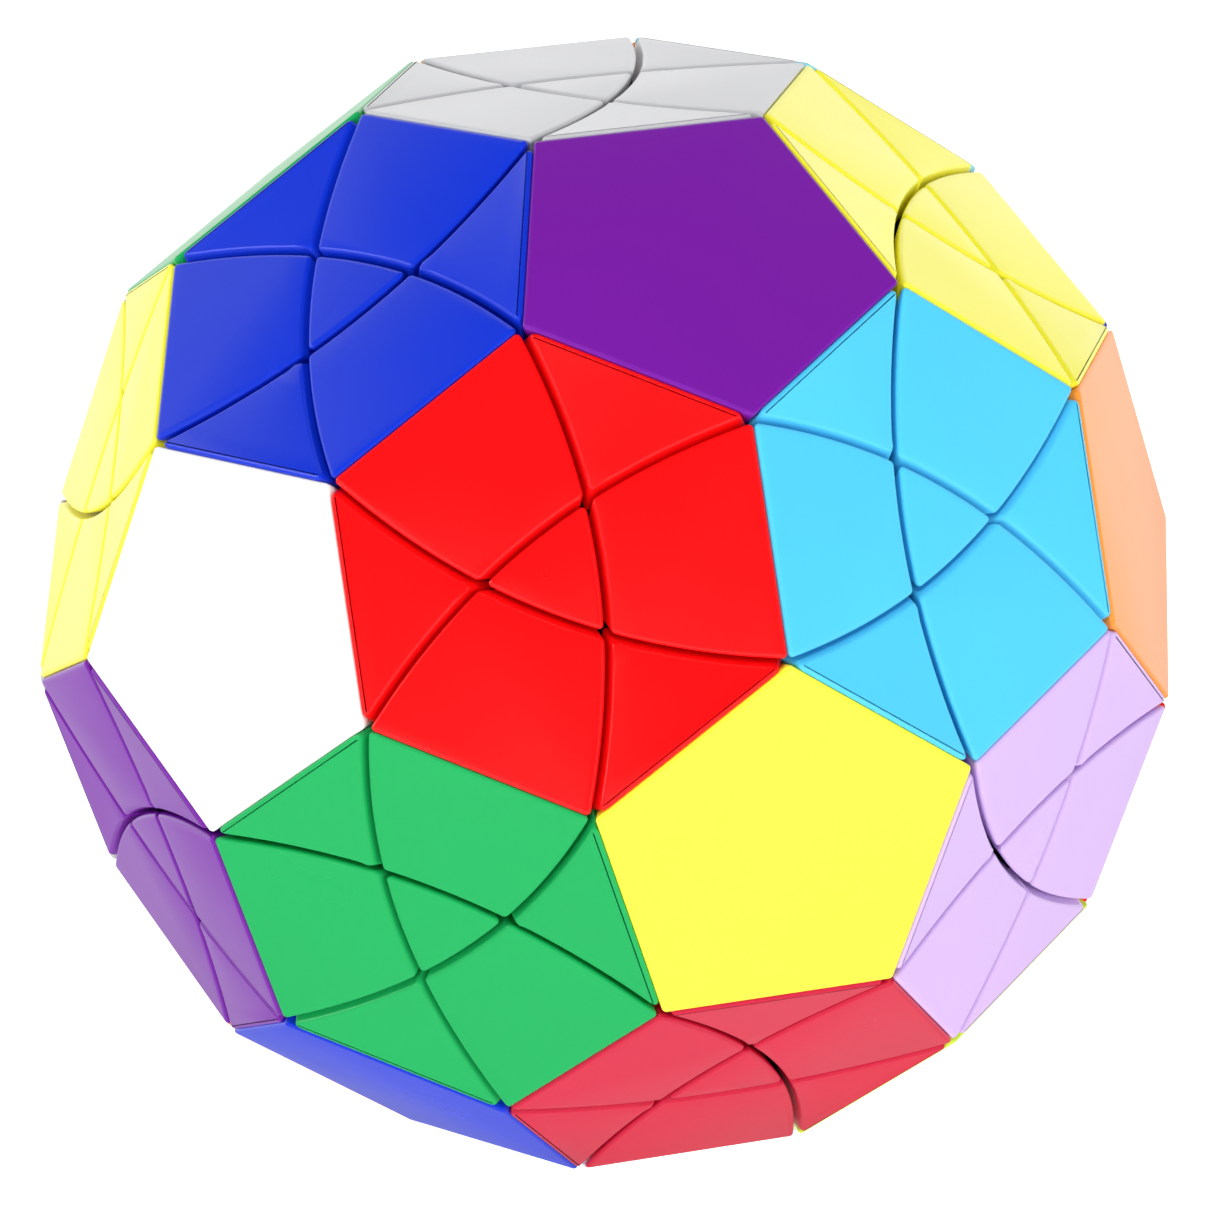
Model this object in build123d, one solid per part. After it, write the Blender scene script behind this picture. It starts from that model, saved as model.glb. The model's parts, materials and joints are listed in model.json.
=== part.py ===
from build123d import *

import math
import os
from itertools import combinations

# A twelve-axis face-turning puzzle in the shape of a truncated icosahedron: twelve pentagons,
# which are the turning faces, and twenty hexagons. Sizes are in millimetres and degrees. The
# origin is the middle of the core, and +Z points at the hexagon opposite the one it stands on.

# Outside
EDGE = 18.0  # every side of the pentagons and hexagons
SHELL_THICKNESS = 2.2  # coloured shells that cover the black inner bodies
SHELL_ROUNDING = 0.3  # rounded rims of the shells
CORNER_ROUNDING = 0.4  # rounded corners of their outlines
TURN_GAP = 0.4  # gap between pieces that turn past each other

# The cut that frees one turning layer, as a surface of revolution about the layer's axis
GROOVE_REACH = 3.24  # from the middle of a hexagon to the grooves round its corner piece
KNEE_DEPTH = 1.6  # from the underside of the hexagons' shells to where the groove's cone ends
NECK_SPREAD = 4.6  # degrees from a hexagon's middle to the foot of the neck
FOOT_SPREAD = 7.0  # further degrees that the feet reach, so that they hook under
FOOT_HEIGHT = 8.5
FOOT_GAP = 0.5  # between the core and the feet

# Core
CORE_RADIUS = 13.5
ARM_RADIUS = 3.0
ARM_REACH = 3.0  # from the ball of the core to the flat end of an arm
ARM_GAP = 0.3  # between an arm and the feet round it
END_GAP = 0.3  # between the end of an arm and the centre piece on it

# Screw, spring and washer in the well of each centre piece
SCREW_RADIUS = 1.5
SCREW_DEPTH = 8.0  # length of thread inside the core
HEAD_RADIUS = 2.9
HEAD_HEIGHT = 1.8
SLOT_WIDTH = 0.8
SLOT_DEPTH = 0.9
THREAD_GAP = 0.05
WELL_GAP = 0.6  # between the washer and the wall of the well
WELL_FLOOR = 5.5  # thickness of the hub under the well
SHANK_GAP = 0.25  # between the screw and the hole in the hub
SPRING_WIRE = 0.3  # radius of the wire
SPRING_GAP = 0.7  # between the screw and the spring
SPRING_LENGTH = 5.0
SPRING_TURNS = 5
SEAT_GAP = 0.1  # at each end of the spring
WASHER_RADIUS = 3.4
WASHER_THICKNESS = 0.5

# Geometry of the icosahedron whose corners are the twelve turning axes
GOLDEN = (1 + math.sqrt(5)) / 2
AXIS_ANGLE = math.degrees(math.atan(2))  # between two neighbouring axes
HEX_ANGLE = math.degrees(math.asin(2 * math.sin(math.radians(AXIS_ANGLE / 2)) / math.sqrt(3)))
RIDGE_ANGLE = math.degrees(math.asin(1 / (math.sqrt(3) * GOLDEN)))  # ridge to hexagon middle
TIP_RADIUS = 3 * EDGE * math.sqrt(GOLDEN * math.sqrt(5)) / 2  # of the untruncated icosahedron
HEX_DISTANCE = TIP_RADIUS * math.cos(math.radians(HEX_ANGLE))  # origin to a hexagon
PENT_DISTANCE = TIP_RADIUS - 3 * EDGE**2 / (2 * TIP_RADIUS)  # origin to a pentagon
BLANK = 3 * EDGE  # larger than any piece
SEAM_SIDE = Vector(-1, 0, -3)  # turns the seams of round blanks away from a piece on +Z
ANGLE_SLACK = 1.0  # when the angle between two axes is compared with AXIS_ANGLE

# Sizes that follow from the ones above
NECK_ANGLE = HEX_ANGLE + NECK_SPREAD  # from the axis of the layer
FOOT_ANGLE = NECK_ANGLE + FOOT_SPREAD
KNEE_RADIUS = HEX_DISTANCE - SHELL_THICKNESS - KNEE_DEPTH
FOOT_BOTTOM = CORE_RADIUS + FOOT_GAP
FOOT_RADIUS = FOOT_BOTTOM + FOOT_HEIGHT
ARM_LENGTH = CORE_RADIUS + ARM_REACH  # from the middle of the core
HUB_BOTTOM = ARM_LENGTH + END_GAP
SPRING_BOTTOM = HUB_BOTTOM + WELL_FLOOR + SEAT_GAP
SPRING_RADIUS = SCREW_RADIUS + SPRING_GAP + SPRING_WIRE  # to the middle of the wire
WASHER_BOTTOM = SPRING_BOTTOM + SPRING_LENGTH + SEAT_GAP
HEAD_BOTTOM = WASHER_BOTTOM + WASHER_THICKNESS
WELL_RADIUS = WASHER_RADIUS + WELL_GAP

FROM_BELOW = (Align.CENTER, Align.CENTER, Align.MIN)

# The faces by height, each ring with the azimuth of its first face
RINGS = (
    (HEX_ANGLE, -90.0, ("purple", "sky", "green")),
    (180 - HEX_ANGLE - AXIS_ANGLE, -30.0, ("orange", "red", "white")),
    (HEX_ANGLE + AXIS_ANGLE, -90.0, ("yellow", "pink", "grey")),
    (180 - HEX_ANGLE, -30.0, ("lime", "dark_green", "blue")),
)

# Like pieces in the fixed lower part that share a node
LOWER_GROUPS = {
    "edges_at_bottom": (("lime", "dark_green"), ("dark_green", "blue"), ("lime", "blue")),
    "edges_under_yellow": (("yellow", "lime"), ("yellow", "blue")),
    "edges_under_pink": (("pink", "lime"), ("pink", "dark_green")),
    "edges_under_grey": (("grey", "dark_green"), ("grey", "blue")),
    "corners_at_lower_sides": (
        ("yellow", "lime", "blue"),
        ("pink", "lime", "dark_green"),
        ("grey", "dark_green", "blue"),
    ),
}


def polar(angle, azimuth):
    """Unit vector at an angle from +Z and an azimuth from +X."""
    tilt, turn = math.radians(angle), math.radians(azimuth)
    flat = math.sin(tilt)
    return Vector(flat * math.cos(turn), flat * math.sin(turn), math.cos(tilt))


def facing(z_dir, x_dir=None):
    """Location at the origin with +Z along z_dir, and +X as near x_dir as it can be."""
    if x_dir is None:
        return Plane(origin=(0, 0, 0), z_dir=z_dir).location
    return Plane(origin=(0, 0, 0), x_dir=x_dir - z_dir * x_dir.dot(z_dir), z_dir=z_dir).location


def slab(normal, distance, thickness=BLANK):
    """Wide slab whose upper face is the plane at a distance from the origin along normal."""
    block = Box(2 * BLANK, 2 * BLANK, thickness, align=(Align.CENTER, Align.CENTER, Align.MAX))
    return facing(normal) * Pos(0, 0, distance) * block


def mitre(normal, distance, other, other_distance):
    """Half space on the first plane's side of the plane that bisects two planes."""
    across = other - normal
    return slab(across.normalized(), (other_distance - distance) / across.length)


# ---- the cut ----


def on_cone(angle, offset, radius):
    """Point (rho, z) where a cone about the axis, moved out by offset, crosses a sphere."""
    tilt = math.radians(angle)
    along = math.sqrt(radius**2 - offset**2)
    return (
        offset * math.cos(tilt) + along * math.sin(tilt),
        along * math.cos(tilt) - offset * math.sin(tilt),
    )


def cone_crossing(angle, offset, other_angle, other_offset):
    """Point (rho, z) where two cones about the axis cross, each moved out by its offset."""
    a, b = math.radians(angle), math.radians(other_angle)
    spread = math.sin(a - b)
    return (
        (other_offset * math.sin(a) - offset * math.sin(b)) / spread,
        (other_offset * math.cos(a) - offset * math.cos(b)) / spread,
    )


def cone_through(low, high):
    """Half angle and offset of the cone about the axis through two points (rho, z)."""
    tilt = math.atan2(high[0] - low[0], high[1] - low[1])
    return math.degrees(tilt), low[0] * math.cos(tilt) - low[1] * math.sin(tilt)


def groove_cone():
    """Half angle and offset of the cone that shows as a groove: it passes the middles of the
    hexagons round its axis, and the corners that neighbouring pentagons turn towards it."""
    tilt = math.radians(HEX_ANGLE)
    past_middle = (
        HEX_DISTANCE * math.sin(tilt) + GROOVE_REACH * math.cos(tilt),
        HEX_DISTANCE * math.cos(tilt) - GROOVE_REACH * math.sin(tilt),
    )
    corner = (polar(AXIS_ANGLE, 0) * 2 + Vector(0, 0, 1)) * (TIP_RADIUS / 3)
    return cone_through(past_middle, (corner.X, corner.Z))


def neck_cone():
    """Half angle and offset of the cone from the feet to the end of the groove's cone."""
    return cone_through(on_cone(NECK_ANGLE, 0, FOOT_RADIUS), on_cone(*groove_cone(), KNEE_RADIUS))


def layer_blank(offset):
    """Solid about +Z that holds one turning layer, grown by offset on every side."""
    low, high = FOOT_BOTTOM - offset, FOOT_RADIUS + offset
    foot_low = on_cone(FOOT_ANGLE, offset, low)
    foot_high = on_cone(FOOT_ANGLE, offset, high)
    groove_angle, groove_offset = groove_cone()
    neck_angle, neck_offset = neck_cone()
    neck_low = on_cone(neck_angle, neck_offset + offset, high)
    knee = cone_crossing(
        neck_angle, neck_offset + offset, groove_angle, groove_offset + offset
    )
    rim = on_cone(groove_angle, groove_offset + offset, BLANK)
    outline = [
        ThreePointArc((0, low), on_cone(FOOT_ANGLE / 2, 0, low), foot_low),
        Line(foot_low, foot_high),
        ThreePointArc(foot_high, on_cone((FOOT_ANGLE + NECK_ANGLE) / 2, 0, high), neck_low),
        Polyline(neck_low, knee, rim, (0, BLANK), (0, low)),
    ]
    return revolve(Plane.XZ * make_face(Curve() + outline), Axis.Z, 360)


def cut_free(planes, inside, outside):
    """What lies under the given planes, in every layer of one list of axes and clear of their
    arms, and in no layer of the other."""
    piece = slab(*planes[0])
    for plane in planes[1:]:
        piece = piece & slab(*plane)
    own, other = layer_blank(-TURN_GAP / 2), layer_blank(TURN_GAP / 2)
    arm_room = Cylinder(ARM_RADIUS + ARM_GAP, HUB_BOTTOM, align=FROM_BELOW)
    for axis in inside:
        piece = piece & facing(axis, SEAM_SIDE) * own
        piece = piece - facing(axis, SEAM_SIDE) * arm_room
    for axis in outside:
        piece = piece - facing(axis, SEAM_SIDE) * other
    return piece.solid()


def shell(blank, normal, distance, mitres):
    """Coloured shell under one face of the outside, its corners and outer rim rounded."""
    plate = blank & slab(normal, distance, SHELL_THICKNESS)
    for half_space in mitres:
        plate = plate & half_space
    plate = plate.solid()
    outwards = Axis((0, 0, 0), normal)
    by_height = plate.faces().sort_by(outwards)
    corners = plate.edges() - by_height[0].edges() - by_height[-1].edges()
    plate = fillet(corners, CORNER_ROUNDING).solid()
    rim = plate.faces().sort_by(outwards)[-1].edges()
    return fillet(rim, SHELL_ROUNDING).solid()


# ---- the three kinds of outer piece, each a list of solids with its body first ----


def corner_piece():
    """Corner piece on +Z: a body with three curved sides, and one small shell."""
    axes = [polar(HEX_ANGLE, 120 * n) for n in range(3)]
    up = Vector(0, 0, 1)
    blank = cut_free([(up, HEX_DISTANCE)], axes, [])
    body = blank & slab(up, HEX_DISTANCE - SHELL_THICKNESS)
    return [body.solid(), shell(blank, up, HEX_DISTANCE, [])]


def edge_piece():
    """Edge piece on +Z, its ridge along X: a body, and a shell on each side of the ridge."""
    along = [polar(AXIS_ANGLE / 2, turn) for turn in (0, 180)]
    across = [polar(90 - AXIS_ANGLE / 2, turn) for turn in (90, 270)]
    normals = [polar(RIDGE_ANGLE, turn) for turn in (90, 270)]
    blank = cut_free([(normal, HEX_DISTANCE) for normal in normals], along, across)
    body = blank
    for normal in normals:
        body = body & slab(normal, HEX_DISTANCE - SHELL_THICKNESS)
    shells = [
        shell(blank, near, HEX_DISTANCE, [mitre(near, HEX_DISTANCE, far, HEX_DISTANCE)])
        for near, far in (normals, reversed(normals))
    ]
    return [body.solid(), *shells]


def centre_piece():
    """Centre piece on +Z: a body with the well for its screw, a pentagonal cap and five petals."""
    up = Vector(0, 0, 1)
    around = [polar(AXIS_ANGLE, 72 * n) for n in range(5)]
    normals = [polar(HEX_ANGLE, 72 * n + 36) for n in range(5)]
    planes = [(up, PENT_DISTANCE), *((normal, HEX_DISTANCE) for normal in normals)]
    blank = cut_free(planes, [up], around)
    body = blank & slab(up, PENT_DISTANCE - SHELL_THICKNESS)
    for normal in normals:
        body = body & slab(normal, HEX_DISTANCE - SHELL_THICKNESS)
    body = body - slab(up, HUB_BOTTOM)
    well = Cylinder(WELL_RADIUS, BLANK, align=FROM_BELOW)
    body = body - Pos(0, 0, HUB_BOTTOM + WELL_FLOOR) * well
    body = body - Cylinder(SCREW_RADIUS + SHANK_GAP, BLANK)
    borders = [mitre(up, PENT_DISTANCE, normal, HEX_DISTANCE) for normal in normals]
    cap = shell(slab(up, PENT_DISTANCE), up, PENT_DISTANCE, borders)
    petals = [
        shell(blank, normal, HEX_DISTANCE, [mitre(normal, HEX_DISTANCE, up, PENT_DISTANCE)])
        for normal in normals
    ]
    return [body.solid(), cap, *petals]


# ---- core and its fittings, for an axis along +Z ----


def screw():
    """Slotted screw, from its tip in the core to its head on the washer."""
    tip = ARM_LENGTH - SCREW_DEPTH
    shank = Pos(0, 0, tip) * Cylinder(SCREW_RADIUS, HEAD_BOTTOM - tip, align=FROM_BELOW)
    head = Pos(0, 0, HEAD_BOTTOM) * Cylinder(HEAD_RADIUS, HEAD_HEIGHT, align=FROM_BELOW)
    slot = Box(BLANK, SLOT_WIDTH, BLANK, align=FROM_BELOW)
    return (shank + head - Pos(0, 0, HEAD_BOTTOM + HEAD_HEIGHT - SLOT_DEPTH) * slot).solid()


def spring():
    """Coil spring round the screw, between the floor of the well and the washer."""
    rise = SPRING_LENGTH - 2 * SPRING_WIRE
    path = Helix(pitch=rise / SPRING_TURNS, height=rise, radius=SPRING_RADIUS)
    wire = Plane(path @ 0, z_dir=path % 0) * Circle(SPRING_WIRE)
    coil = sweep(wire, path=path, is_frenet=True)
    return (Pos(0, 0, SPRING_BOTTOM + SPRING_WIRE) * coil).solid()


def washer():
    """Washer between the spring and the head of the screw."""
    disc = Cylinder(WASHER_RADIUS, WASHER_THICKNESS, align=FROM_BELOW)
    hole = Cylinder(SCREW_RADIUS + THREAD_GAP, WASHER_THICKNESS, align=FROM_BELOW)
    return (Pos(0, 0, WASHER_BOTTOM) * (disc - hole)).solid()


def core(axes):
    """Ball with twelve arms, each bored for its screw."""
    body = Sphere(CORE_RADIUS)
    for axis in axes:
        body = body + facing(axis) * Cylinder(ARM_RADIUS, ARM_LENGTH, align=FROM_BELOW)
    bore = Cylinder(SCREW_RADIUS + THREAD_GAP, BLANK, align=FROM_BELOW)
    for axis in axes:
        body = body - facing(axis) * Pos(0, 0, ARM_LENGTH - SCREW_DEPTH - END_GAP) * bore
    return body.solid()


# ---- the whole puzzle ----


def face_axes():
    """Axis of each turning face, by its colour."""
    return {
        name: polar(angle, azimuth + 120 * n)
        for angle, azimuth, names in RINGS
        for n, name in enumerate(names)
    }


def border(first, second):
    """Whether the faces on two axes share an edge piece."""
    return abs(first.get_angle(second) - AXIS_ANGLE) < ANGLE_SLACK


def neighbours(axes, count):
    """Every group of faces that all border each other, as tuples of colours."""
    return [
        group
        for group in combinations(axes, count)
        if all(border(axes[a], axes[b]) for a, b in combinations(group, 2))
    ]


def outer_pieces(axes):
    """The solids of every centre, edge and corner piece, by the colours of its faces."""
    centre, edge, corner = centre_piece(), edge_piece(), corner_piece()
    placed = {}
    for (name,) in neighbours(axes, 1):
        near = next(other for other in axes.values() if border(other, axes[name]))
        placed[(name,)] = [facing(axes[name], near) * solid for solid in centre]
    for pair in neighbours(axes, 2):
        first, second = (axes[name] for name in pair)
        spot = facing((first + second).normalized(), first)
        placed[pair] = [spot * solid for solid in edge]
    for trio in neighbours(axes, 3):
        first, second, third = (axes[name] for name in trio)
        spot = facing((first + second + third).normalized(), first)
        placed[trio] = [spot * solid for solid in corner]
    return placed


def nodes():
    """Every node's solids, by the node's name."""
    axes = face_axes()
    pieces = outer_pieces(axes)
    found = {"core": [core(axes.values())]}
    for name, made in (("screws", screw()), ("springs", spring()), ("washers", washer())):
        found[name] = [facing(axis) * made for axis in axes.values()]
    for name, groups in LOWER_GROUPS.items():
        found[name] = [solid for group in groups for solid in pieces.pop(group)]
    kinds = {1: "centre", 2: "edge", 3: "corner"}
    for group, solids in pieces.items():
        found["_".join((kinds[len(group)], *group))] = solids
    return found


os.makedirs("parts", exist_ok=True)
for name, solids in nodes().items():
    export_step(Compound(solids) if len(solids) > 1 else solids[0], f"parts/{name}.step")
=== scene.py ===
import json
import logging
import math
from dataclasses import dataclass, field
from enum import Enum
from itertools import combinations
from typing import Iterable, Sequence

import bpy
from mathutils import Matrix, Vector


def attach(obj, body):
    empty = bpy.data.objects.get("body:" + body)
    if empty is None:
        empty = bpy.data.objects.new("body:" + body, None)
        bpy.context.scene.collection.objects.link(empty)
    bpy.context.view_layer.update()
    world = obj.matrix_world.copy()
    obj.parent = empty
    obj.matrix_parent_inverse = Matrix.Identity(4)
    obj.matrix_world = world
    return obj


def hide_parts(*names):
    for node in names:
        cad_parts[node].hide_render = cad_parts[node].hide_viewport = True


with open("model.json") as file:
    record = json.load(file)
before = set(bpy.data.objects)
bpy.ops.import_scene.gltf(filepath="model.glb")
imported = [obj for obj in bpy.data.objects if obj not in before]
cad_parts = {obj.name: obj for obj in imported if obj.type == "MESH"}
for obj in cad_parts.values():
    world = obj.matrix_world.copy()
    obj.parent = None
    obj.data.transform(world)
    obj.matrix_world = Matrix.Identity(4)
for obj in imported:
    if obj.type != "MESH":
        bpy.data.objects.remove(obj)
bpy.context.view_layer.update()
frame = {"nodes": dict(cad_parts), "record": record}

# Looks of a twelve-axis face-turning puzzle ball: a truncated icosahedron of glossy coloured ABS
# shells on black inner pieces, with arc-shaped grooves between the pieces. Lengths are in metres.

LOG = logging.getLogger("puzzle_ball")
MM = 0.001
UP = Vector((0.0, 0.0, 1.0))
SHARP = math.radians(20)  # a larger turn than this is an edge and not a facet of a curve
TOUCH = 0.01 * MM  # closer than this, two points count as one height or one place
MERGE = 0.001 * MM  # closer than this, two corners of a mesh are one

# Angles of the icosahedron whose corners are the twelve turning axes
GOLDEN = (1 + math.sqrt(5)) / 2
AXIS_ANGLE = math.atan(2)  # between two neighbouring axes
HEX_ANGLE = math.asin(2 * math.sin(AXIS_ANGLE / 2) / math.sqrt(3))  # axis to hexagon normal
RIDGE_ANGLE = math.asin(1 / (math.sqrt(3) * GOLDEN))  # middle of a ridge to hexagon normal

Group = tuple[str, ...]  # turning faces that a piece belongs to
Undersides = list[tuple[Vector, float]]  # planes that shells rest on: normal and distance


# ---- finishes ----


class Plastic(Enum):
    """Colours that the ABS is dyed with, as sRGB hex values."""

    WHITE = "#FBFBF8"
    PURPLE = "#7A1CA6"
    SKY = "#9FE3F2"
    GREEN = "#1AAE5C"
    ORANGE = "#FF9A3C"
    RED = "#FA0C10"
    YELLOW = "#FFF93F"
    PINK = "#F58FB4"
    GREY = "#CFD0D3"
    LIME = "#CDEB45"
    DARK_GREEN = "#0E6B35"
    BLUE = "#0E34D3"
    CYAN = "#52CBF8"
    LAVENDER = "#D2B4EC"
    CRIMSON = "#CC1A3E"


def linear(code: str) -> tuple[float, float, float, float]:
    """Turns an sRGB hex colour to the linear values that a shader takes.

    Args:
        code: Colour as "#RRGGBB".

    Returns:
        Red, green, blue and an alpha of 1.
    """
    channels = [int(code[n : n + 2], 16) / 255 for n in (1, 3, 5)]
    toned = [c / 12.92 if c <= 0.04045 else ((c + 0.055) / 1.055) ** 2.4 for c in channels]
    return (*toned, 1.0)


def add_node(
    tree: bpy.types.NodeTree,
    kind: str,
    values: dict[str | int, object] | None = None,
    links: dict[str | int, bpy.types.NodeSocket] | None = None,
    **settings: object,
) -> bpy.types.Node:
    """Adds one node to a material's or the world's nodes.

    Args:
        tree: Node tree that gets the node.
        kind: Node type, such as "ShaderNodeBump".
        values: Input values by socket name, or by number where names repeat.
        links: Sockets of other nodes, by the name or number of the input that each feeds.
        **settings: Properties of the node itself.

    Returns:
        The new node.
    """
    node = tree.nodes.new(kind)
    for name, value in settings.items():
        setattr(node, name, value)
    for key, value in (values or {}).items():
        node.inputs[key].default_value = value
    for key, socket in (links or {}).items():
        tree.links.new(socket, node.inputs[key])
    return node


def cleared_nodes(owner: bpy.types.Material | bpy.types.World) -> bpy.types.NodeTree:
    """Turns on the nodes of a material or world and removes those that it starts with.

    Args:
        owner: Material or world.

    Returns:
        Its node tree, which is empty.
    """
    owner.use_nodes = True
    owner.node_tree.nodes.clear()
    return owner.node_tree


@dataclass(frozen=True)
class MouldedPlastic:
    """Injection-moulded plastic, coloured through.

    The eye gets a clean, even gloss from it. Flow marks make the dye and the gloss very slightly
    uneven, and a faint peel keeps mirrored lights from having a hard outline.
    """

    name: str
    colour: str
    shade: float = 0.96  # the darker end of the dye's slight unevenness
    roughness: tuple[float, float] = (0.25, 0.33)
    ior: float = 1.53  # ABS
    flow_size: float = 9 * MM  # drawn coarser than real flow marks so that they show at all
    flow_detail: float = 3.0
    peel_size: float = 0.6 * MM
    peel_detail: float = 2.0
    peel_depth: float = 0.002 * MM

    def material(self) -> bpy.types.Material:
        """Builds the material's nodes, or finds the material if it is there already.

        Returns:
            The material.
        """
        if self.name in bpy.data.materials:
            return bpy.data.materials[self.name]
        made = bpy.data.materials.new(self.name)
        tree = cleared_nodes(made)
        place = add_node(tree, "ShaderNodeTexCoord").outputs["Object"]
        flow = add_node(
            tree, "ShaderNodeTexNoise",
            {"Scale": 1 / self.flow_size, "Detail": self.flow_detail}, {"Vector": place},
        ).outputs["Fac"]
        peel = add_node(
            tree, "ShaderNodeTexNoise",
            {"Scale": 1 / self.peel_size, "Detail": self.peel_detail}, {"Vector": place},
        ).outputs["Fac"]
        light = linear(self.colour)
        dark = (*[channel * self.shade for channel in light[:3]], 1.0)
        dye = add_node(
            tree, "ShaderNodeMix", {"A": light, "B": dark}, {"Factor": flow}, data_type="RGBA"
        ).outputs["Result"]
        low, high = self.roughness
        rough = add_node(
            tree, "ShaderNodeMapRange", {"To Min": low, "To Max": high}, {"Value": flow}
        ).outputs["Result"]
        bump = add_node(
            tree, "ShaderNodeBump", {"Distance": self.peel_depth}, {"Height": peel}
        ).outputs["Normal"]
        surface = add_node(
            tree, "ShaderNodeBsdfPrincipled", {"IOR": self.ior},
            {"Base Color": dye, "Roughness": rough, "Normal": bump},
        ).outputs["BSDF"]
        add_node(tree, "ShaderNodeOutputMaterial", None, {"Surface": surface})
        return made


@dataclass(frozen=True)
class PlatedSteel:
    """Zinc-plated steel, turned or drawn: bright grey, with a gloss broken by fine streaks."""

    name: str
    colour: str = "#C9CBD0"
    streak_size: float = 0.2 * MM
    streak_detail: float = 2.0
    streak_range: tuple[float, float] = (0.3, 0.7)  # part of the noise that is spread out
    roughness: tuple[float, float] = (0.2, 0.4)

    def material(self) -> bpy.types.Material:
        """Builds the material's nodes, or finds the material if it is there already.

        Returns:
            The material.
        """
        if self.name in bpy.data.materials:
            return bpy.data.materials[self.name]
        made = bpy.data.materials.new(self.name)
        tree = cleared_nodes(made)
        place = add_node(tree, "ShaderNodeTexCoord").outputs["Object"]
        streak = add_node(
            tree, "ShaderNodeTexNoise",
            {"Scale": 1 / self.streak_size, "Detail": self.streak_detail}, {"Vector": place},
        ).outputs["Fac"]
        start, end = self.streak_range
        low, high = self.roughness
        rough = add_node(
            tree, "ShaderNodeMapRange",
            {"From Min": start, "From Max": end, "To Min": low, "To Max": high},
            {"Value": streak},
        ).outputs["Result"]
        surface = add_node(
            tree, "ShaderNodeBsdfPrincipled",
            {"Base Color": linear(self.colour), "Metallic": 1.0}, {"Roughness": rough},
        ).outputs["BSDF"]
        add_node(tree, "ShaderNodeOutputMaterial", None, {"Surface": surface})
        return made


def shell_finish(plastic: Plastic) -> MouldedPlastic:
    """Glossy ABS of one colour, for the shells."""
    return MouldedPlastic(f"abs_{plastic.name.lower()}", plastic.value)


# Inner bodies have a satin black, which also paints the shade deep in the grooves where they cross,
# and the core is duller
BODY_BLACK_AND_SHADE_FINISH = MouldedPlastic("abs_black", "#0B0B0D", roughness=(0.38, 0.5))
CORE_FINISH = MouldedPlastic("nylon_core", "#1B1B1E", roughness=(0.45, 0.6))

# Drawn spring wire has finer streaks than turned screws, and more gloss
SCREW_FINISH = PlatedSteel("zinc_plated_screw")
SPRING_FINISH = PlatedSteel("spring_wire", "#B9BCC4", 0.12 * MM, roughness=(0.15, 0.3))


# ---- small helpers for modelling ----


def deselect_all() -> None:
    """Clears the selection."""
    bpy.ops.object.select_all(action="DESELECT")


def pick(piece: bpy.types.Object) -> None:
    """Selects one object alone and makes it active.

    Args:
        piece: Object to select.
    """
    deselect_all()
    piece.select_set(True)
    bpy.context.view_layer.objects.active = piece


def join(parts: list[bpy.types.Object], name: str) -> bpy.types.Object:
    """Joins mesh objects into one.

    Args:
        parts: Objects to join.
        name: What the joined object is called.

    Returns:
        The joined object, which was the first part.
    """
    pick(parts[0])
    for part in parts:
        part.select_set(True)
    bpy.ops.object.join()
    made = bpy.context.active_object
    made.name = name
    return made


def link_new(name: str, data: bpy.types.ID) -> bpy.types.Object:
    """Makes an object from a mesh, light or camera and puts it in the scene.

    Args:
        name: What the object is called.
        data: What it shows.

    Returns:
        The new object, at the origin and unturned.
    """
    made = bpy.data.objects.new(name, data)
    bpy.context.scene.collection.objects.link(made)
    return made


def bake_place() -> bpy.types.Object:
    """Moves the active object's place, turn and size into its mesh.

    Returns:
        The active object.
    """
    bpy.ops.object.transform_apply(location=True, rotation=True, scale=True)
    return bpy.context.active_object


def facing(z_dir: Vector, x_dir: Vector) -> Matrix:
    """Works out a rotation from where two of the axes go.

    Args:
        z_dir: Where +Z goes.
        x_dir: What +X goes as near to as it can.

    Returns:
        The rotation.
    """
    z = z_dir.normalized()
    x = (x_dir - z * x_dir.dot(z)).normalized()
    return Matrix((x, z.cross(x), z)).transposed().to_4x4()


def polar(angle: float, azimuth: float) -> Vector:
    """Works out a direction.

    Args:
        angle: From +Z, in radians.
        azimuth: From +X, in radians.

    Returns:
        The direction, as a unit vector.
    """
    flat = math.sin(angle)
    return Vector((flat * math.cos(azimuth), flat * math.sin(azimuth), math.cos(angle)))


def apply_modifier(piece: bpy.types.Object, kind: str, **settings: object) -> None:
    """Adds a modifier to a piece and applies it.

    Args:
        piece: Mesh object.
        kind: Modifier type, such as "BOOLEAN".
        **settings: Properties of the modifier.
    """
    pick(piece)
    bpy.ops.object.modifier_add(type=kind)
    modifier = piece.modifiers[-1]
    for name, value in settings.items():
        setattr(modifier, name, value)
    bpy.ops.object.modifier_apply(modifier=modifier.name)


def select_edges(piece: bpy.types.Object, wanted: Iterable[int]) -> None:
    """Selects some of a piece's edges and nothing else.

    Args:
        piece: Mesh object.
        wanted: Indices of the edges.
    """
    mesh = piece.data
    pick(piece)
    bpy.ops.object.mode_set(mode="EDIT")
    bpy.ops.mesh.select_mode(type="EDGE")
    bpy.ops.mesh.select_all(action="DESELECT")
    bpy.ops.object.mode_set(mode="OBJECT")
    for index in wanted:
        mesh.edges[index].select = True


def middle(mesh: bpy.types.Mesh, index: int) -> Vector:
    """Finds the middle of one edge of a mesh.

    Args:
        mesh: Mesh that has the edge.
        index: Index of the edge.

    Returns:
        The point, frozen so that it can be a key.
    """
    first, second = mesh.edges[index].vertices
    return ((mesh.vertices[first].co + mesh.vertices[second].co) / 2).freeze()


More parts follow.
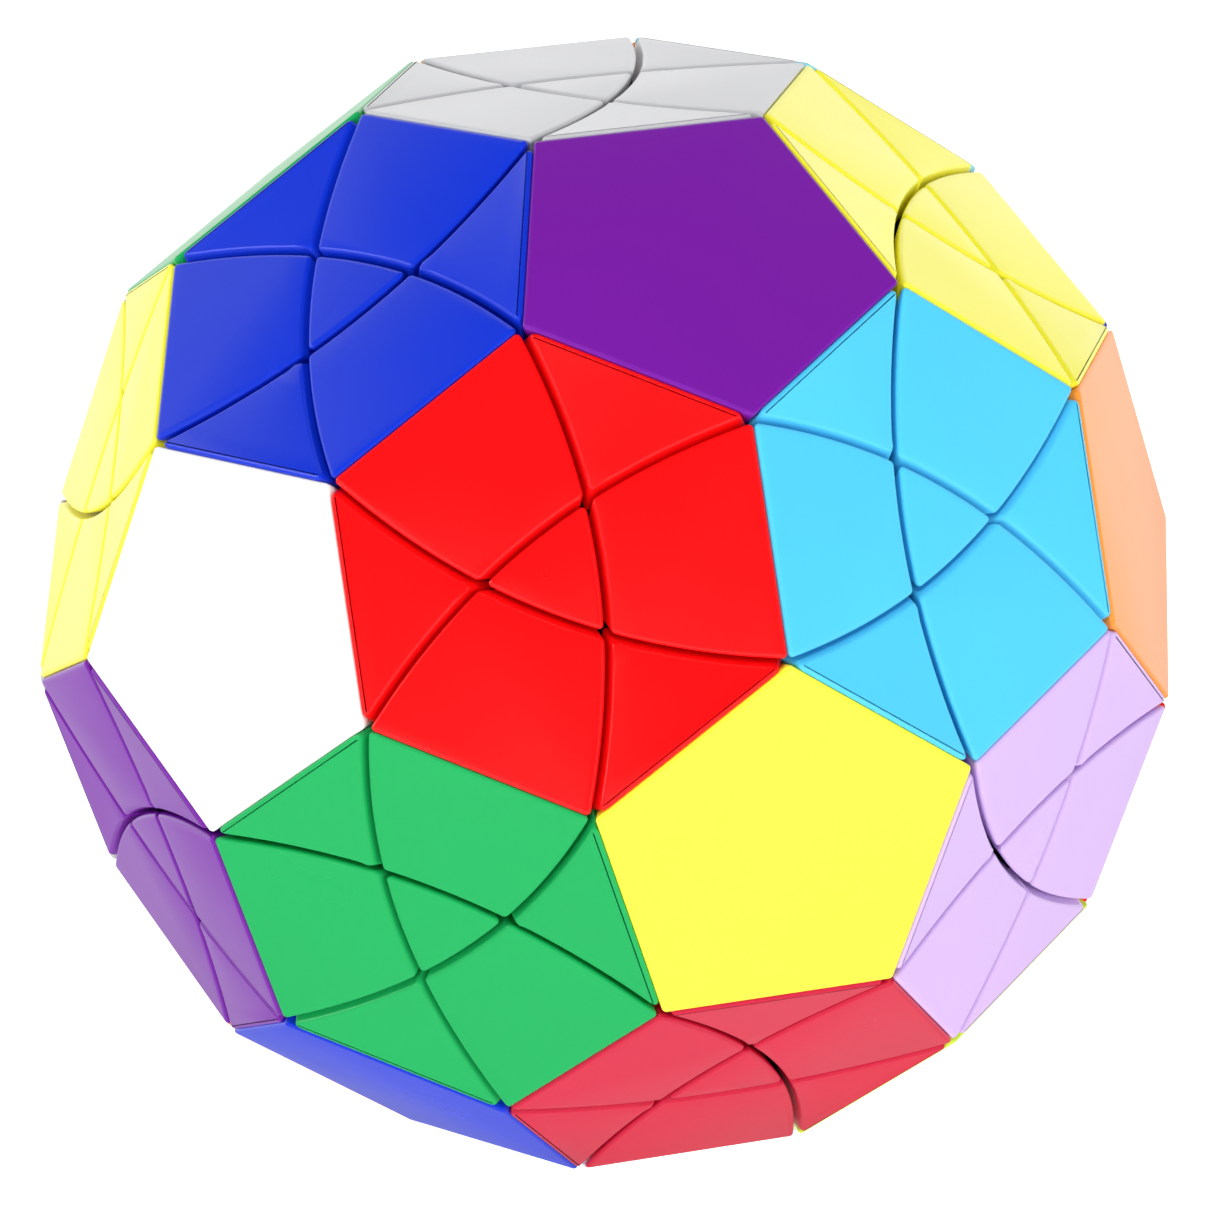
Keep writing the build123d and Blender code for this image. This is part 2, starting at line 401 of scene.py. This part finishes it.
def turns_at_edges(mesh: bpy.types.Mesh) -> dict[int, float]:
    """Measures how far a mesh's surface turns at each edge.

    Args:
        mesh: Closed mesh.

    Returns:
        The angle between the two faces on each edge, by the edge's index.
    """
    normals: dict[tuple[int, int], list[Vector]] = {}
    for face in mesh.polygons:
        for key in face.edge_keys:
            normals.setdefault(key, []).append(face.normal)
    return {
        edge.index: normals[edge.key][0].angle(normals[edge.key][1], 0.0)  # 0 on a sliver face
        for edge in mesh.edges
    }


# ---- sizes ----


@dataclass(frozen=True)
class Ball:
    """Sizes of the outside, all worked out from how far its hexagons lie from the middle."""

    hex_distance: float

    @property
    def tip_radius(self) -> float:
        """Circumscribed radius of the icosahedron before its corners are cut off."""
        return self.hex_distance / math.cos(HEX_ANGLE)

    @property
    def edge(self) -> float:
        """Side of every pentagon and hexagon."""
        return self.tip_radius / (1.5 * math.sqrt(GOLDEN * math.sqrt(5)))

    @property
    def pent_distance(self) -> float:
        """Distance from the middle to a pentagon."""
        return self.tip_radius - 3 * self.edge**2 / (2 * self.tip_radius)


@dataclass(frozen=True)
class Cut:
    """The cone about a turning axis that parts a layer from the rest."""

    ball: Ball
    half_angle: float = math.radians(59.0)
    gap: float = 0.4 * MM
    facets: int = 160
    seam: Vector = Vector((-1, 0, -3)).freeze()  # towards the first of the cone's facets

    def apex(self, grow: float) -> float:
        """Finds where the cone's apex lies, so that the cone passes through corners of the ball.

        Args:
            grow: Distance that the cone's surface is moved outwards.

        Returns:
            Height of the apex on the cone's axis.
        """
        corner = (polar(AXIS_ANGLE, 0) * 2 + UP) * (self.ball.tip_radius / 3)
        offset = corner.x * math.cos(self.half_angle) - corner.z * math.sin(self.half_angle)
        return -(offset + grow) / math.sin(self.half_angle)

    def tool(self, axis: Vector, grow: float) -> bpy.types.Object:
        """Makes the cone as a solid to cut with.

        Args:
            axis: Direction of the turning axis.
            grow: Distance that the cone's surface is moved outwards.

        Returns:
            A mesh object at the origin, which the caller removes after use.
        """
        deselect_all()
        depth = self.ball.tip_radius
        bpy.ops.mesh.primitive_cone_add(
            vertices=self.facets, radius1=0, radius2=depth * math.tan(self.half_angle),
            depth=depth, location=axis * (self.apex(grow) + depth / 2),
            rotation=facing(axis, self.seam).to_euler(),
        )
        return bake_place()


# ---- shells ----


@dataclass(frozen=True)
class Outline:
    """How a shell's outline comes about, seen with the middle of its face of the ball on +Z."""

    sides: int  # of the plate that it is cut from
    face_sides: int  # of the whole face of the ball, whose sides the plate's lie on
    lean: float  # of the plate's sides, to half the angle between the faces that meet there
    inside: tuple[int, ...] = ()  # azimuths of the axes whose layers it is in, in degrees
    outside: tuple[int, ...] = ()  # and of those whose layers it is cut away from


class ShellKind(Enum):
    """Kinds of coloured shell."""

    CAP = Outline(5, 5, HEX_ANGLE / 2)
    PETAL = Outline(3, 6, HEX_ANGLE / 2, (0,), (120, 240))
    RIDGE = Outline(3, 6, RIDGE_ANGLE, (-60, 60), (180,))
    CORNER = Outline(3, 6, RIDGE_ANGLE, (0, 120, 240))


@dataclass
class ShellShop:
    """Makes each kind of shell once, with the middle of its face of the ball on +Z."""

    ball: Ball
    cut: Cut
    thickness: float = 2.2 * MM
    rim_radius: float = 0.32 * MM
    corner_radius: float = 0.4 * MM
    corner_room: float = 0.3 * MM  # kept free of facet edges past each corner's rounding
    rim_segments: int = 4
    corner_segments: int = 6
    flatness: float = math.radians(0.2)  # faces nearer to one plane than this become one
    smoothness: float = math.radians(35)  # a larger turn than this shows as an edge
    made: dict[ShellKind, bpy.types.Mesh] = field(default_factory=dict)

    def plate(self, outline: Outline) -> bpy.types.Object:
        """Makes the plate that a shell is cut from, with the middle of one side towards +X.

        Args:
            outline: The shell's outline.

        Returns:
            The plate, in its place under the face of the ball.
        """
        hexagonal = outline.face_sides == 6
        top = self.ball.hex_distance if hexagonal else self.ball.pent_distance
        inradius = self.ball.edge / (2 * math.tan(math.pi / outline.face_sides))
        stretch = 1 / math.cos(math.pi / outline.sides)
        deselect_all()
        bpy.ops.mesh.primitive_cone_add(
            vertices=outline.sides,
            radius1=(inradius - self.thickness * math.tan(outline.lean)) * stretch,
            radius2=inradius * stretch, depth=self.thickness,
            location=(0, 0, top - self.thickness / 2),
            rotation=(0, 0, math.pi / outline.sides - math.pi / 2),
        )
        return bake_place()

    def carve(self, plate: bpy.types.Object, outline: Outline) -> None:
        """Cuts a plate to a shell's outline with the cones of the layers around it.

        Args:
            plate: Plate to cut.
            outline: The shell's outline.
        """
        for azimuths, how, grow in (
            (outline.inside, "INTERSECT", -self.cut.gap / 2),
            (outline.outside, "DIFFERENCE", self.cut.gap / 2),
        ):
            for azimuth in azimuths:
                tool = self.cut.tool(polar(HEX_ANGLE, math.radians(azimuth)), grow)
                apply_modifier(plate, "BOOLEAN", operation=how, object=tool, solver="EXACT")
                bpy.data.objects.remove(tool)
        pick(plate)
        bpy.ops.object.mode_set(mode="EDIT")
        bpy.ops.mesh.select_all(action="SELECT")
        bpy.ops.mesh.remove_doubles(threshold=TOUCH)
        bpy.ops.mesh.dissolve_limited(angle_limit=self.flatness)
        bpy.ops.mesh.normals_make_consistent(inside=False)
        bpy.ops.object.mode_set(mode="OBJECT")

    def side_edges(self, mesh: bpy.types.Mesh) -> dict[int, float]:
        """Finds the edges of a shell's sides, which lie in neither its top nor its bottom.

        Args:
            mesh: Carved plate.

        Returns:
            The angle that the outline turns at each of them, by the edge's index.
        """
        found = {}
        for index, turn in turns_at_edges(mesh).items():
            low, high = sorted(mesh.vertices[n].co.z for n in mesh.edges[index].vertices)
            if high - low > TOUCH:
                found[index] = turn
        return found

    def rim_edges(self, mesh: bpy.types.Mesh) -> dict[int, float]:
        """Finds the edges round a shell's outer face.

        Args:
            mesh: Carved plate.

        Returns:
            The angle that the surface turns at each of them, by the edge's index.
        """
        top = max(vertex.co.z for vertex in mesh.vertices)
        return {
            index: turn
            for index, turn in turns_at_edges(mesh).items()
            if turn > SHARP
            and all(mesh.vertices[n].co.z > top - TOUCH for n in mesh.edges[index].vertices)
        }

    def clear_corners(self, shell: bpy.types.Object) -> None:
        """Dissolves the facet edges that stand too near a corner to be rounded past.

        Args:
            shell: Shell to work on.
        """
        mesh = shell.data
        sides = self.side_edges(mesh)
        reach = {
            middle(mesh, index): self.corner_room + self.corner_radius * math.tan(turn / 2)
            for index, turn in sides.items()
            if turn > SHARP
        }
        near = [
            index
            for index, turn in sides.items()
            if turn <= SHARP
            and any((middle(mesh, index) - spot).length < far for spot, far in reach.items())
        ]
        select_edges(shell, near)
        bpy.ops.object.mode_set(mode="EDIT")
        bpy.ops.mesh.dissolve_edges(use_verts=True, use_face_split=False)
        bpy.ops.object.mode_set(mode="OBJECT")

    def round_edges(
        self, shell: bpy.types.Object, turns: dict[int, float], radius: float, steps: int
    ) -> None:
        """Rounds some of a shell's edges, all to the same radius, whatever their angles.

        Args:
            shell: Shell to work on.
            turns: The angle that the surface turns at each edge, by the edge's index.
            radius: Radius of the rounding.
            steps: Facets across it.
        """
        setbacks = {index: radius * math.tan(turn / 2) for index, turn in turns.items()}
        widest = max(setbacks.values())
        weights = shell.data.attributes.new("bevel_weight_edge", "FLOAT", "EDGE")
        for index, setback in setbacks.items():
            weights.data[index].value = setback / widest
        apply_modifier(
            shell, "BEVEL", width=widest, limit_method="WEIGHT", segments=steps, profile=0.5,
            use_clamp_overlap=False,
        )
        shell.data.attributes.remove(shell.data.attributes["bevel_weight_edge"])

    def shell(self, kind: ShellKind) -> bpy.types.Mesh:
        """Makes one kind of shell, or finds it if it is made already.

        Args:
            kind: Kind of shell.

        Returns:
            The shell's mesh.
        """
        if kind not in self.made:
            plate = self.plate(kind.value)
            self.carve(plate, kind.value)
            self.clear_corners(plate)
            sides = self.side_edges(plate.data)
            corners = {index: turn for index, turn in sides.items() if turn > SHARP}
            self.round_edges(plate, corners, self.corner_radius, self.corner_segments)
            rim = self.rim_edges(plate.data)
            self.round_edges(plate, rim, self.rim_radius, self.rim_segments)
            pick(plate)
            bpy.ops.object.shade_smooth_by_angle(angle=self.smoothness)
            self.made[kind] = plate.data
            bpy.data.objects.remove(plate)
            LOG.info("shell %s: %d faces", kind.name, len(self.made[kind].polygons))
        return self.made[kind]


# ---- black inner bodies ----


@dataclass
class BodyShop:
    """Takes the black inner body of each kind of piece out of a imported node."""

    axes: dict[str, Vector]
    smoothness: float = math.radians(30)  # a larger turn than this shows as an edge
    made: dict[int, bpy.types.Mesh] = field(default_factory=dict)

    def place(self, group: Group) -> Matrix:
        """Finds the place of a piece: its outward direction on +Z, one axis towards +X.

        Args:
            group: Faces that the piece belongs to.

        Returns:
            Rotation from there to its place on the ball.
        """
        directions = [self.axes[name] for name in group]
        outwards = sum(directions, Vector()).normalized()
        if len(group) > 1:
            return facing(outwards, directions[0])
        others = [axis for name, axis in self.axes.items() if name not in group]
        return facing(outwards, min(others, key=lambda axis: round(axis.angle(outwards), 3)))

    def is_shell(
        self, mesh: bpy.types.Mesh, face: bpy.types.MeshPolygon, undersides: Undersides
    ) -> bool:
        """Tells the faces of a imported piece's shells from those of its inner body.

        Args:
            mesh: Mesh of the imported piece.
            face: One of its faces.
            undersides: Planes that its shells rest on.

        Returns:
            True for a shell's face.
        """
        for normal, distance in undersides:
            heights = [normal.dot(mesh.vertices[n].co) - distance for n in face.vertices]
            if max(heights) > TOUCH:
                return True
            if min(heights) > -TOUCH and normal.dot(face.normal) < 0:
                return True
        return False

    def body(
        self, node: bpy.types.Object, group: Group, undersides: Undersides
    ) -> bpy.types.Mesh:
        """Makes the inner body for a kind of piece, or finds it if it is made already.

        Args:
            node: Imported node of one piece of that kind.
            group: Faces of that piece.
            undersides: Planes that its shells rest on.

        Returns:
            The body's mesh, with the piece's outward direction on +Z.
        """
        kind = len(group)
        if kind not in self.made:
            copy = link_new("body", node.data.copy())
            mesh = copy.data
            mesh.materials.clear()
            pick(copy)
            bpy.ops.mesh.customdata_custom_splitnormals_clear()
            bpy.ops.object.mode_set(mode="EDIT")
            bpy.ops.mesh.select_mode(type="FACE")
            bpy.ops.mesh.select_all(action="DESELECT")
            bpy.ops.object.mode_set(mode="OBJECT")
            for face in mesh.polygons:
                face.select = self.is_shell(mesh, face, undersides)
            bpy.ops.object.mode_set(mode="EDIT")
            bpy.ops.mesh.delete(type="FACE")
            bpy.ops.mesh.select_all(action="SELECT")
            bpy.ops.mesh.remove_doubles(threshold=MERGE)
            bpy.ops.mesh.delete_loose()
            bpy.ops.object.mode_set(mode="OBJECT")
            bpy.ops.object.shade_smooth_by_angle(angle=self.smoothness)
            mesh.transform(self.place(group).inverted())
            self.made[kind] = mesh
            bpy.data.objects.remove(copy)
            LOG.info("body of %d faces: %d triangles", kind, len(mesh.polygons))
        return self.made[kind]


# ---- the puzzle ----


# A piece's kind and its outer shells, by the number of turning faces that it belongs to
PIECE_KINDS = {1: "centre", 2: "edge", 3: "corner"}
OUTER_SHELLS = {1: ShellKind.PETAL, 2: ShellKind.RIDGE, 3: ShellKind.CORNER}
ANGLE_SLACK = 0.02  # in radians, for angles that should be equal


def packed_bodies() -> dict[str, list[str]]:
    """The record's bodies, each with its nodes."""
    return frame["record"]["behaviour"]["bodies"]


def nearest(node: bpy.types.Object, spot: Vector) -> float:
    """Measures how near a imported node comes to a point.

    Args:
        node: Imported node.
        spot: The point.

    Returns:
        Distance from the point to the node's nearest vertex.
    """
    return min((vertex.co - spot).length for vertex in node.data.vertices)


@dataclass
class Puzzle:
    """All the outer pieces: where each one sits, what it is made of, and what it rides on."""

    ball: Ball
    shells: ShellShop
    axes: dict[str, Vector]
    bodies: BodyShop
    face_colours: dict[str, Plastic]
    hexagon_colours: dict[frozenset[str], Plastic]

    def groups(self, count: int) -> list[Group]:
        """Lists every set of faces that all border each other.

        Args:
            count: Faces in a set.

        Returns:
            The sets, in the order of the axes.
        """
        limit = AXIS_ANGLE + ANGLE_SLACK
        return [
            group
            for group in combinations(self.axes, count)
            if all(self.axes[a].angle(self.axes[b]) < limit for a, b in combinations(group, 2))
        ]

    def hexagons(self, group: Group) -> list[tuple[Group, Vector]]:
        """Lists the hexagons that a piece shows on.

        Args:
            group: Faces that the piece belongs to.

        Returns:
            The three faces round each hexagon, and its outward direction.
        """
        return [
            (trio, sum((self.axes[name] for name in trio), Vector()).normalized())
            for trio in self.groups(3)
            if set(group) <= set(trio)
        ]

    def undersides(self, group: Group) -> Undersides:
        """Lists the planes that the shells of one piece rest on.

        Args:
            group: Faces that the piece belongs to.

        Returns:
            Normal and distance of each plane.
        """
        hexagonal = self.ball.hex_distance - self.shells.thickness
        found = [(normal, hexagonal) for _, normal in self.hexagons(group)]
        if len(group) == 1:
            found.append((self.axes[group[0]], self.ball.pent_distance - self.shells.thickness))
        return found

    def shell_places(self, group: Group) -> list[tuple[ShellKind, Matrix, Plastic]]:
        """Lists the shells of one piece.

        Args:
            group: Faces that the piece belongs to.

        Returns:
            Kind, place and colour of each shell.
        """
        outwards = sum((self.axes[name] for name in group), Vector())
        towards = self.axes[group[0]] if len(group) == 3 else outwards
        kind = OUTER_SHELLS[len(group)]
        found = [
            (kind, facing(normal, towards), self.hexagon_colours[frozenset(trio)])
            for trio, normal in self.hexagons(group)
        ]
        if len(group) == 1:
            _, last_normal = self.hexagons(group)[-1]
            cap = facing(outwards, last_normal)
            found.append((ShellKind.CAP, cap, self.face_colours[group[0]]))
        return found

    def part(self, mesh: bpy.types.Mesh, place: Matrix, finish: MouldedPlastic) -> bpy.types.Object:
        """Puts a copy of a mesh in its place with its finish.

        Args:
            mesh: Mesh with its outward direction on +Z.
            place: Rotation to its place on the ball.
            finish: What it is made of.

        Returns:
            A new object, at the origin and unturned.
        """
        copy = mesh.copy()
        copy.transform(place)
        copy.materials.append(finish.material())
        return link_new("part", copy)

    def piece(self, group: Group, node: str, body: str, slot: str) -> bpy.types.Object:
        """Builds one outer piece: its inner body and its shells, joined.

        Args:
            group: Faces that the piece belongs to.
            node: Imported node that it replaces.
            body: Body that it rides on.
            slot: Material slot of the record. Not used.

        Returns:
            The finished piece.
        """
        inner = self.bodies.made[len(group)]
        # The body's satin black also paints the shade in the holes where the grooves cross
        parts = [self.part(inner, self.bodies.place(group), BODY_BLACK_AND_SHADE_FINISH)]
        for kind, place, colour in self.shell_places(group):
            parts.append(self.part(self.shells.shell(kind), place, shell_finish(colour)))
        made = join(parts, "_".join((*group, PIECE_KINDS[len(group)], "piece")))
        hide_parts(node)
        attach(made, body)
        LOG.info("%s rides on %s", made.name, body)
        return made

    def shared_node(self, group: Group) -> str:
        """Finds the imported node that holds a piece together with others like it.

        Args:
            group: Faces that the piece belongs to.

        Returns:
            The node's name.
        """
        outwards = sum((self.axes[name] for name in group), Vector()).normalized()
        spot = outwards * self.ball.hex_distance
        start = f"{PIECE_KINDS[len(group)]}s_"
        shared = [name for name in frame["nodes"] if name.startswith(start)]
        return min(shared, key=lambda name: nearest(frame["nodes"][name], spot))

    def build(self) -> None:
        """Builds every outer piece from the record's bodies and nodes."""
        rides = {name: body for body, members in packed_bodies().items() for name in members}
        slots = {row["node"]: row["material_slot"] for row in frame["record"]["subparts"]}
        for count, kind in PIECE_KINDS.items():
            groups = self.groups(count)
            own = next(group for group in groups if "_".join((kind, *group)) in rides)
            self.bodies.body(frame["nodes"]["_".join((kind, *own))], own, self.undersides(own))
            for group in groups:
                node = "_".join((kind, *group))
                if node not in rides:
                    node = self.shared_node(group)
                self.piece(group, node, rides[node], slots[node])


# ---- fittings inside ----


@dataclass(frozen=True)
class Fittings:
    """Core, screws, washers and springs."""

    axes: dict[str, Vector]
    reach: float = 5 * MM  # from an axis, within which all of its spring lies
    turns: int = 5
    facets_round: int = 10
    steps_per_turn: int = 24
    smoothness: float = math.radians(50)  # a larger turn than this shows as an edge
    sideways: float = 0.9  # an axis with more of X in it than this has its coil turned from Y

    def dress(self) -> None:
        """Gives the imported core, screws and washers their finishes."""
        for name, finish in (
            ("core", CORE_FINISH), ("screws", SCREW_FINISH), ("washers", SCREW_FINISH),
        ):
            mesh = frame["nodes"][name].data
            mesh.materials.clear()
            mesh.materials.append(finish.material())
            LOG.info("%s: packed shape with %s", name, finish.name)

    def coil(self) -> bpy.types.Mesh:
        """Winds one spring along +Z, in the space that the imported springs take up.

        Returns:
            The spring's mesh.
        """
        axis = next(iter(self.axes.values()))
        turned = facing(axis, Vector((1, 0, 0))).inverted()
        points = [turned @ vertex.co for vertex in frame["nodes"]["springs"].data.vertices]
        points = [p for p in points if p.z > 0 and math.hypot(p.x, p.y) < self.reach]
        low, high = min(p.z for p in points), max(p.z for p in points)
        inner, outer = (f(math.hypot(p.x, p.y) for p in points) for f in (min, max))
        wire = (outer - inner) / 2
        rise = high - low - 2 * wire
        deselect_all()
        bpy.ops.mesh.primitive_circle_add(
            vertices=self.facets_round, radius=wire, fill_type="NOTHING",
            location=((inner + outer) / 2, 0, low + wire), rotation=(math.pi / 2, 0, 0),
        )
        coil = bake_place()
        apply_modifier(
            coil, "SCREW", angle=math.tau, screw_offset=rise / self.turns,
            iterations=self.turns, steps=self.steps_per_turn,
            render_steps=self.steps_per_turn, use_normal_calculate=True,
        )
        bpy.ops.object.mode_set(mode="EDIT")
        bpy.ops.mesh.select_all(action="SELECT")
        bpy.ops.mesh.remove_doubles(threshold=MERGE)
        bpy.ops.mesh.select_all(action="DESELECT")
        bpy.ops.mesh.select_non_manifold()
        bpy.ops.mesh.edge_face_add()
        bpy.ops.mesh.select_all(action="SELECT")
        bpy.ops.mesh.normals_make_consistent(inside=False)
        bpy.ops.object.mode_set(mode="OBJECT")
        bpy.ops.object.shade_smooth_by_angle(angle=self.smoothness)
        mesh = coil.data
        bpy.data.objects.remove(coil)
        return mesh

    def springs(self) -> bpy.types.Object:
        """Makes all the springs as one piece.

        Returns:
            The piece.
        """
        mesh = self.coil()
        mesh.materials.append(SPRING_FINISH.material())
        coils = []
        for axis in self.axes.values():
            copy = mesh.copy()
            side = Vector((1, 0, 0)) if abs(axis.x) < self.sideways else Vector((0, 1, 0))
            copy.transform(facing(axis, side))
            coils.append(link_new("coil", copy))
        made = join(coils, "coil_springs")
        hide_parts("springs")
        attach(made, next(b for b, nodes in packed_bodies().items() if "springs" in nodes))
        LOG.info("coil_springs: %d faces", len(made.data.polygons))
        return made


# ---- studio ----


@dataclass(frozen=True)
class SoftLight:
    """A soft square light that points at the ball."""

    name: str
    spot: tuple[float, float, float]
    power: float  # in watts
    side: float = 0.4
    glints: bool = False  # whether glossy surfaces mirror it

    def build(self) -> None:
        """Hangs the light."""
        data = bpy.data.lights.new(self.name, "AREA")
        data.size = self.side
        data.energy = self.power
        lamp = link_new(self.name, data)
        lamp.location = self.spot
        lamp.rotation_euler = lamp.location.to_track_quat("Z", "Y").to_euler()
        lamp.visible_glossy = self.glints
        LOG.info("light %s", self.name)


@dataclass(frozen=True)
class Studio:
    """White lit table, soft lights, a bright backdrop and the camera."""

    ball: Ball
    azimuth: float = math.radians(-17.1)
    elevation: float = math.radians(16.9)
    roll: float = math.radians(-2.4)
    distance: float = 0.521
    lens: float = 199.4  # in millimetres, as the sensor is
    sensor: float = 36.0
    clip: tuple[float, float] = (0.05, 20.0)
    aim_right: float = -0.24 * MM
    aim_up: float = -0.46 * MM
    table_side: float = 6.0
    table_glow: float = 0.9
    table_roughness: float = 0.7
    table_colour: str = "#F4F4F4"
    light_colour: str = "#FFFFFF"  # of the table's and the backdrop's own light
    backdrop: float = 1.45  # brightness of the backdrop
    room: float = 0.02  # and of the room behind the camera
    fade: tuple[float, float] = (-0.8, 0.1)  # where one turns to the other: part along `back`
    under: float = 0.25  # share of that brightness below the table
    horizon: tuple[float, float] = (-0.6, 0.0)  # where that share is full and gone: part along Z
    lights: tuple[SoftLight, ...] = (
        SoftLight("top", (-0.14, -0.55, 0.88), 5.0),
        SoftLight("left", (-0.76, -0.62, 0.06), 3.2),
        SoftLight("right", (0.35, -0.92, 0.21), 3.4),
        SoftLight("rim", (-0.95, 0.14, 0.45), 2.4, side=0.5, glints=True),
    )

    @property
    def back(self) -> Vector:
        """Works out the direction from the ball to the camera.

        Returns:
            The direction, as a unit vector.
        """
        flat = math.cos(self.elevation)
        east, north = math.sin(self.azimuth) * flat, -math.cos(self.azimuth) * flat
        return Vector((east, north, math.sin(self.elevation)))

    def camera(self) -> None:
        """Places the camera and makes it the scene's."""
        level = UP.cross(self.back).normalized()
        lift = self.back.cross(level)
        right = level * math.cos(self.roll) + lift * math.sin(self.roll)
        up = self.back.cross(right)
        data = bpy.data.cameras.new("camera")
        data.lens = self.lens
        data.sensor_width = self.sensor
        data.clip_start, data.clip_end = self.clip
        camera = link_new("camera", data)
        camera.matrix_world = Matrix((right, up, self.back)).transposed().to_4x4()
        camera.location = right * self.aim_right + up * self.aim_up + self.back * self.distance
        bpy.context.scene.camera = camera

    def table(self) -> None:
        """Makes the table that the ball stands on: frosted acrylic, lit, which mirrors nothing."""
        deselect_all()
        bpy.ops.mesh.primitive_plane_add(
            size=self.table_side, location=(0, 0, -self.ball.hex_distance)
        )
        table = bpy.context.active_object
        table.name = "lit_table"
        material = bpy.data.materials.new("lit_acrylic")
        tree = cleared_nodes(material)
        surface = add_node(
            tree, "ShaderNodeBsdfPrincipled",
            {
                "Base Color": linear(self.table_colour), "Roughness": self.table_roughness,
                "Emission Color": linear(self.light_colour),
                "Emission Strength": self.table_glow,
            },
        ).outputs["BSDF"]
        add_node(tree, "ShaderNodeOutputMaterial", None, {"Surface": surface})
        table.data.materials.append(material)
        table.visible_glossy = False

    def surroundings(self) -> None:
        """Lights the world: a bright backdrop behind the ball, a dark room behind the camera."""
        world = bpy.data.worlds.new("studio")
        bpy.context.scene.world = world
        tree = cleared_nodes(world)
        place = add_node(tree, "ShaderNodeTexCoord").outputs["Generated"]
        towards = add_node(
            tree, "ShaderNodeVectorMath", {1: self.back}, {0: place}, operation="DOT_PRODUCT"
        ).outputs["Value"]
        start, end = self.fade
        fade = add_node(
            tree, "ShaderNodeMapRange",
            {"From Min": start, "From Max": end, "To Min": self.backdrop, "To Max": self.room},
            {"Value": towards}, interpolation_type="SMOOTHSTEP",
        ).outputs["Result"]
        height = add_node(tree, "ShaderNodeSeparateXYZ", None, {0: place}).outputs["Z"]
        start, end = self.horizon
        low = add_node(
            tree, "ShaderNodeMapRange",
            {"From Min": start, "From Max": end, "To Min": self.under}, {"Value": height},
        ).outputs["Result"]
        strength = add_node(
            tree, "ShaderNodeMath", None, {0: fade, 1: low}, operation="MULTIPLY"
        ).outputs["Value"]
        surface = add_node(
            tree, "ShaderNodeBackground", {"Color": linear(self.light_colour)},
            {"Strength": strength},
        ).outputs["Background"]
        add_node(tree, "ShaderNodeOutputWorld", None, {"Surface": surface})

    def build(self) -> None:
        """Sets the whole studio up."""
        bpy.context.scene.view_settings.view_transform = "Standard"
        self.surroundings()
        self.table()
        for light in self.lights:
            light.build()
        self.camera()


# ---- colours of the faces ----

# Height rings of the turning faces: angle from +Z, azimuth of the first, colours
RING_STEP = 120  # in degrees, as the azimuths are
RINGS = (
    (HEX_ANGLE, -90, ("purple", "sky", "green")),
    (math.pi - HEX_ANGLE - AXIS_ANGLE, -30, ("orange", "red", "white")),
    (HEX_ANGLE + AXIS_ANGLE, -90, ("yellow", "pink", "grey")),
    (math.pi - HEX_ANGLE, -30, ("lime", "dark_green", "blue")),
)

# Colour of each hexagon, by the three turning faces round it
HEXAGONS = {
    ("purple", "white", "yellow"): Plastic.RED,
    ("purple", "green", "white"): Plastic.BLUE,
    ("white", "yellow", "blue"): Plastic.GREEN,
    ("purple", "orange", "yellow"): Plastic.CYAN,
    ("purple", "sky", "green"): Plastic.GREY,
    ("purple", "sky", "orange"): Plastic.YELLOW,
    ("orange", "yellow", "lime"): Plastic.LAVENDER,
    ("yellow", "lime", "blue"): Plastic.CRIMSON,
    ("white", "grey", "blue"): Plastic.PURPLE,
    ("green", "white", "grey"): Plastic.YELLOW,
    ("sky", "green", "red"): Plastic.ORANGE,
    ("sky", "orange", "pink"): Plastic.BLUE,
    ("sky", "red", "pink"): Plastic.GREEN,
    ("orange", "pink", "lime"): Plastic.RED,
    ("pink", "lime", "dark_green"): Plastic.PURPLE,
    ("red", "pink", "dark_green"): Plastic.CYAN,
    ("green", "red", "grey"): Plastic.CRIMSON,
    ("red", "grey", "dark_green"): Plastic.LAVENDER,
    ("grey", "dark_green", "blue"): Plastic.ORANGE,
    ("lime", "dark_green", "blue"): Plastic.WHITE,
}


def turning_axes() -> dict[str, Vector]:
    """Finds the axis of each turning face.

    Returns:
        The axes, by the name of the colour of each face's cap.
    """
    return {
        name: polar(angle, math.radians(azimuth + RING_STEP * n))
        for angle, azimuth, names in RINGS
        for n, name in enumerate(names)
    }


def main() -> None:
    """Builds the puzzle, its fittings and the studio."""
    logging.basicConfig(level=logging.INFO, format="%(name)s: %(message)s")
    base = next(mount for mount in frame["record"]["mounts"] if mount["name"] == "base")
    ball = Ball(hex_distance=-base["pos_m"][2])
    axes = turning_axes()
    puzzle = Puzzle(
        ball, ShellShop(ball, Cut(ball)), axes, BodyShop(axes),
        {name: Plastic[name.upper()] for name in axes},
        {frozenset(trio): colour for trio, colour in HEXAGONS.items()},
    )
    puzzle.build()
    fittings = Fittings(axes)
    fittings.dress()
    fittings.springs()
    Studio(ball).build()


if __name__ == "__main__":
    main()
